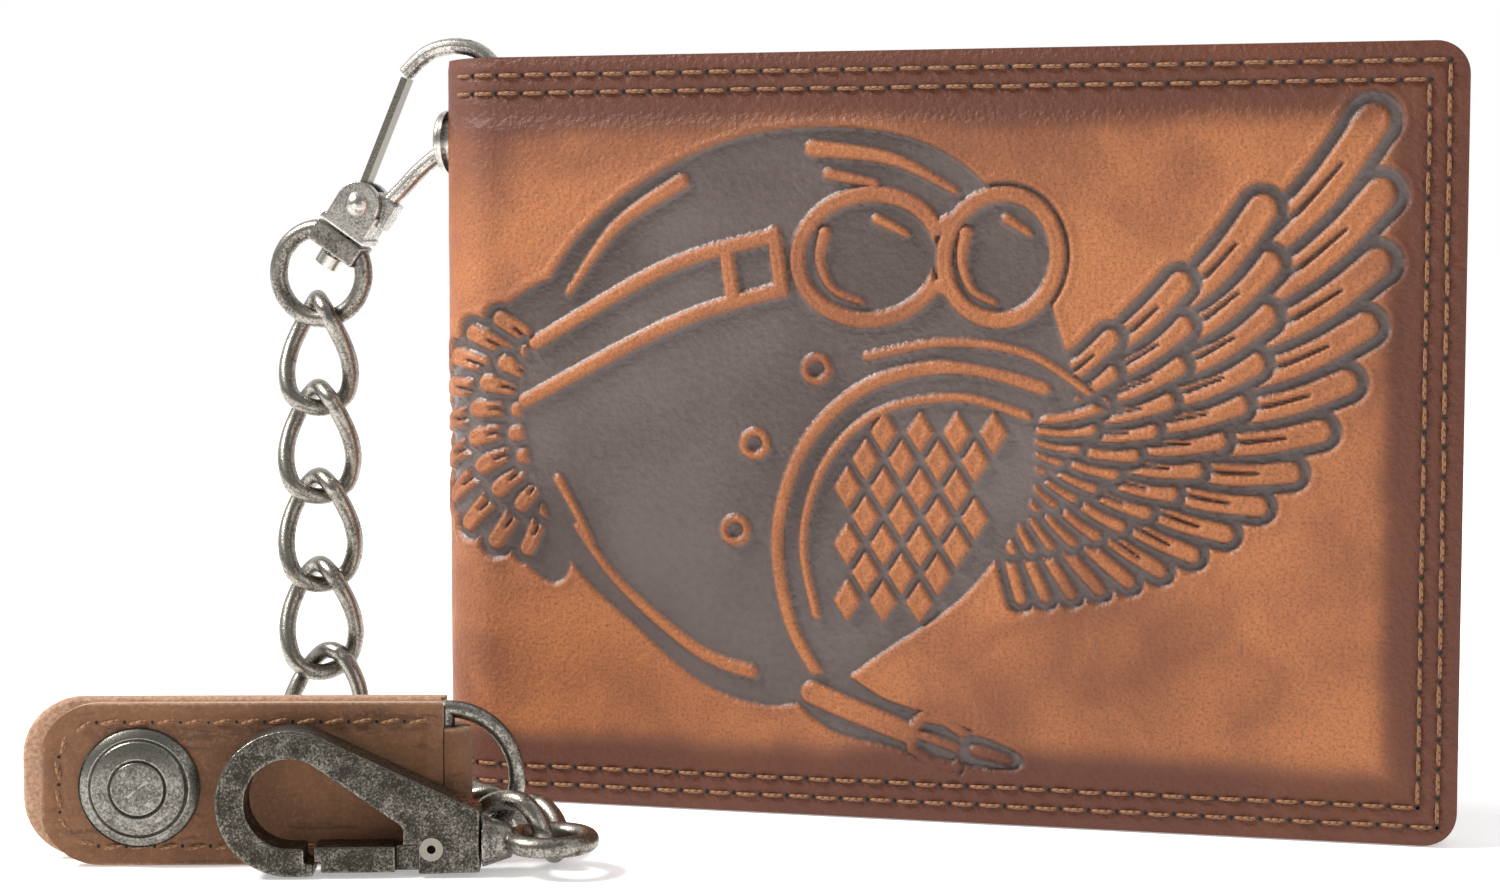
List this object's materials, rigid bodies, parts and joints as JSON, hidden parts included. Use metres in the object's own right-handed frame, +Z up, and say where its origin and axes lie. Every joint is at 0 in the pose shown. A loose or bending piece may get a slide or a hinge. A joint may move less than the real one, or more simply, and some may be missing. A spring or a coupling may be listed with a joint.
{
  "type": "chain wallet",
  "caption": "Bifold leather wallet with card pockets and a coin pouch, held by a curb chain from a spine eyelet to a belt fob with a snap and trigger clasps.",
  "frame": {"origin": "middle of the closed wallet's length on the front cover's bottom edge, at the middle of the cover leather's thickness, on the surface the wallet stands on", "axes": "+X along the front cover from the spine to the free edge, +Y from the front cover towards the back cover, +Z up"},
  "size_m": [0.1641, 0.1179, 0.0992],
  "materials": {
    "leather_front": "semi-matt burnished leather, tan centre and dark brown edges, embossed",
    "leather_spine": "semi-matt burnished leather",
    "leather_back": "semi-matt burnished leather, tan centre and dark brown edges",
    "lining_cloth": "fine dark woven lining",
    "inner_leather": "smooth dark brown leather",
    "eyelet_metal": "antique nickel, darkened in the hollows",
    "clasp_metal": "antique pewter casting, speckled wear on the edges",
    "chain_metal": "antique nickel wire, worn bright on the crowns",
    "snap_metal": "antique nickel cap with a darkened rim",
    "fob_leather": "dry nubuck leather with raw pale edges"
  },
  "bodies": {
    "front_cover": {"front_cover_leather": "leather_front", "front_cover_lining": "lining_cloth", "front_seam_welt": "inner_leather", "front_inner_panel": "inner_leather", "card_pocket_low": "inner_leather", "card_pocket_mid": "inner_leather", "card_pocket_high": "inner_leather"},
    "spine": {"spine_leather": "leather_spine", "spine_lining": "lining_cloth", "eyelet_barrel": "eyelet_metal", "eyelet_washer": "eyelet_metal"},
    "back_cover": {"back_cover_leather": "leather_back", "back_cover_lining": "lining_cloth", "back_seam_welt": "inner_leather", "back_inner_panel": "inner_leather", "coin_pouch_gusset": "inner_leather", "coin_pouch_front": "inner_leather", "coin_snap_stud": "eyelet_metal"},
    "coin_flap": {"coin_flap": "leather_back", "coin_snap_cap": "eyelet_metal"},
    "small_clasp": {"small_clasp_body": "clasp_metal", "small_clasp_rivet": "clasp_metal", "small_clasp_post": "clasp_metal"},
    "small_gate": {"small_clasp_gate": "clasp_metal"},
    "swivel_ring": {"small_swivel_ring": "clasp_metal"},
    "link_1": {"chain_link_1": "chain_metal"},
    "link_2": {"chain_link_2": "chain_metal"},
    "link_3": {"chain_link_3": "chain_metal"},
    "link_4": {"chain_link_4": "chain_metal"},
    "link_5": {"chain_link_5": "chain_metal"},
    "link_6": {"chain_link_6": "chain_metal"},
    "link_7": {"chain_link_7": "chain_metal"},
    "link_8": {"chain_link_8": "chain_metal"},
    "link_9": {"chain_link_9": "chain_metal"},
    "link_10": {"chain_link_10": "chain_metal"},
    "d_ring": {"d_ring": "chain_metal"},
    "fob": {"fob_front_strap": "fob_leather", "fob_snap_cap": "snap_metal", "fob_snap_socket": "snap_metal", "fob_fold": "fob_leather"},
    "fob_back": {"fob_back_strap": "fob_leather", "fob_snap_stud": "snap_metal"},
    "large_swivel": {"large_clasp_eye": "clasp_metal"},
    "large_clasp": {"large_clasp_body": "clasp_metal", "large_clasp_rivet": "clasp_metal", "large_clasp_spring": "clasp_metal"},
    "large_gate": {"large_clasp_gate": "clasp_metal"}
  },
  "joints": [
    {"name": "front_fold", "type": "hinge", "parent": "front_cover", "child": "spine", "pos_m": [-0.0557, 0, 0.048], "axis": [0, 0, 1], "range_deg": [0, 38]},
    {"name": "back_fold", "type": "hinge", "parent": "spine", "child": "back_cover", "pos_m": [-0.0557, 0.017, 0.048], "axis": [0, 0, 1], "range_deg": [-24, 86]},
    {"name": "coin_flap_hinge", "type": "hinge", "parent": "back_cover", "child": "coin_flap", "pos_m": [0.00704, 0.0359, 0.072], "axis": [-0.9135, -0.4067, 0], "range_deg": [0, 18]},
    {"name": "small_clasp_swing", "type": "hinge", "parent": "spine", "child": "small_clasp", "pos_m": [-0.064, 0.0085, 0.0856], "axis": [0, 1, 0], "range_deg": [0, 9]},
    {"name": "small_gate_pivot", "type": "hinge", "parent": "small_clasp", "child": "small_gate", "pos_m": [-0.0775, 0.0085, 0.0774], "axis": [0, 1, 0], "range_deg": [0, 10], "stiffness_Nm_per_rad": 0.004, "springref_deg": -20.05},
    {"name": "small_swivel", "type": "hinge", "parent": "small_clasp", "child": "swivel_ring", "pos_m": [-0.0775, 0.0085, 0.0774], "axis": [0.5592, 0, 0.829], "range_deg": [-120, 4]},
    {"name": "link_1_swing", "type": "hinge", "parent": "swivel_ring", "child": "link_1", "pos_m": [-0.08415, 0.0085, 0.06359], "axis": [-0.7071, 0.7071, 0], "range_deg": [-2, 12]},
    {"name": "link_2_swing", "type": "hinge", "parent": "link_1", "child": "link_2", "pos_m": [-0.08415, 0.0085, 0.05161], "axis": [0.7071, 0.7071, 0], "range_deg": [-2, 12]},
    {"name": "link_3_swing", "type": "hinge", "parent": "link_2", "child": "link_3", "pos_m": [-0.08415, 0.0085, 0.03963], "axis": [-0.7071, 0.7071, 0], "range_deg": [-2, 12]},
    {"name": "link_4_swing", "type": "hinge", "parent": "link_3", "child": "link_4", "pos_m": [-0.08415, 0.0085, 0.02765], "axis": [0.7071, 0.7071, 0], "range_deg": [-2, 12]},
    {"name": "link_5_swing", "type": "hinge", "parent": "link_4", "child": "link_5", "pos_m": [-0.08415, 0.0085, 0.01567], "axis": [-0.7071, 0.7071, 0], "range_deg": [-2, 12]},
    {"name": "link_6_swing", "type": "hinge", "parent": "link_5", "child": "link_6", "pos_m": [-0.08083, 0.00275, 0.0057], "axis": [0, 0, 1], "range_deg": [-6, 0]},
    {"name": "link_7_swing", "type": "hinge", "parent": "link_6", "child": "link_7", "pos_m": [-0.07564, -0.0079, 0.0039], "axis": [0, 0, 1], "range_deg": [-6, 6]},
    {"name": "link_8_swing", "type": "hinge", "parent": "link_7", "child": "link_8", "pos_m": [-0.06702, -0.01622, 0.0037], "axis": [0, 0, 1], "range_deg": [-6, 6]},
    {"name": "link_9_swing", "type": "hinge", "parent": "link_8", "child": "link_9", "pos_m": [-0.05608, -0.02109, 0.0038], "axis": [0, 0, 1], "range_deg": [-6, 6]},
    {"name": "link_10_swing", "type": "hinge", "parent": "link_9", "child": "link_10", "pos_m": [-0.04532, -0.02634, 0.0042], "axis": [0, 0, 1], "range_deg": [-2, 6]},
    {"name": "d_ring_swing", "type": "hinge", "parent": "link_10", "child": "d_ring", "pos_m": [-0.04335, -0.0324, 0.006], "axis": [0, 0, 1], "range_deg": [-3, 3]},
    {"name": "fob_swing", "type": "hinge", "parent": "d_ring", "child": "fob", "pos_m": [-0.05015, -0.03481, 0.0096], "axis": [0, 0, 1], "range_deg": [-6, 1]},
    {"name": "fob_opening", "type": "hinge", "parent": "fob", "child": "fob_back", "pos_m": [-0.05015, -0.03481, 0.0096], "axis": [0, 0, -1], "range_deg": [0, 35], "deforming": ["fob_fold"]},
    {"name": "large_eye_swing", "type": "hinge", "parent": "link_10", "child": "large_swivel", "pos_m": [-0.03845, -0.03615, 0.0045], "axis": [0, 0, 1], "range_deg": [-2, 2]},
    {"name": "large_swivel_turn", "type": "hinge", "parent": "large_swivel", "child": "large_clasp", "pos_m": [-0.04405, -0.0402, 0.0036], "axis": [0.9588, 0.284, 0], "range_deg": [-6, 20]},
    {"name": "large_gate_pivot", "type": "hinge", "parent": "large_clasp", "child": "large_gate", "pos_m": [-0.04932, -0.04176, 0.0032], "axis": [-0.284, 0.9588, 0], "range_deg": [0, 22], "stiffness_Nm_per_rad": 0.008, "springref_deg": -17.19}
  ]
}
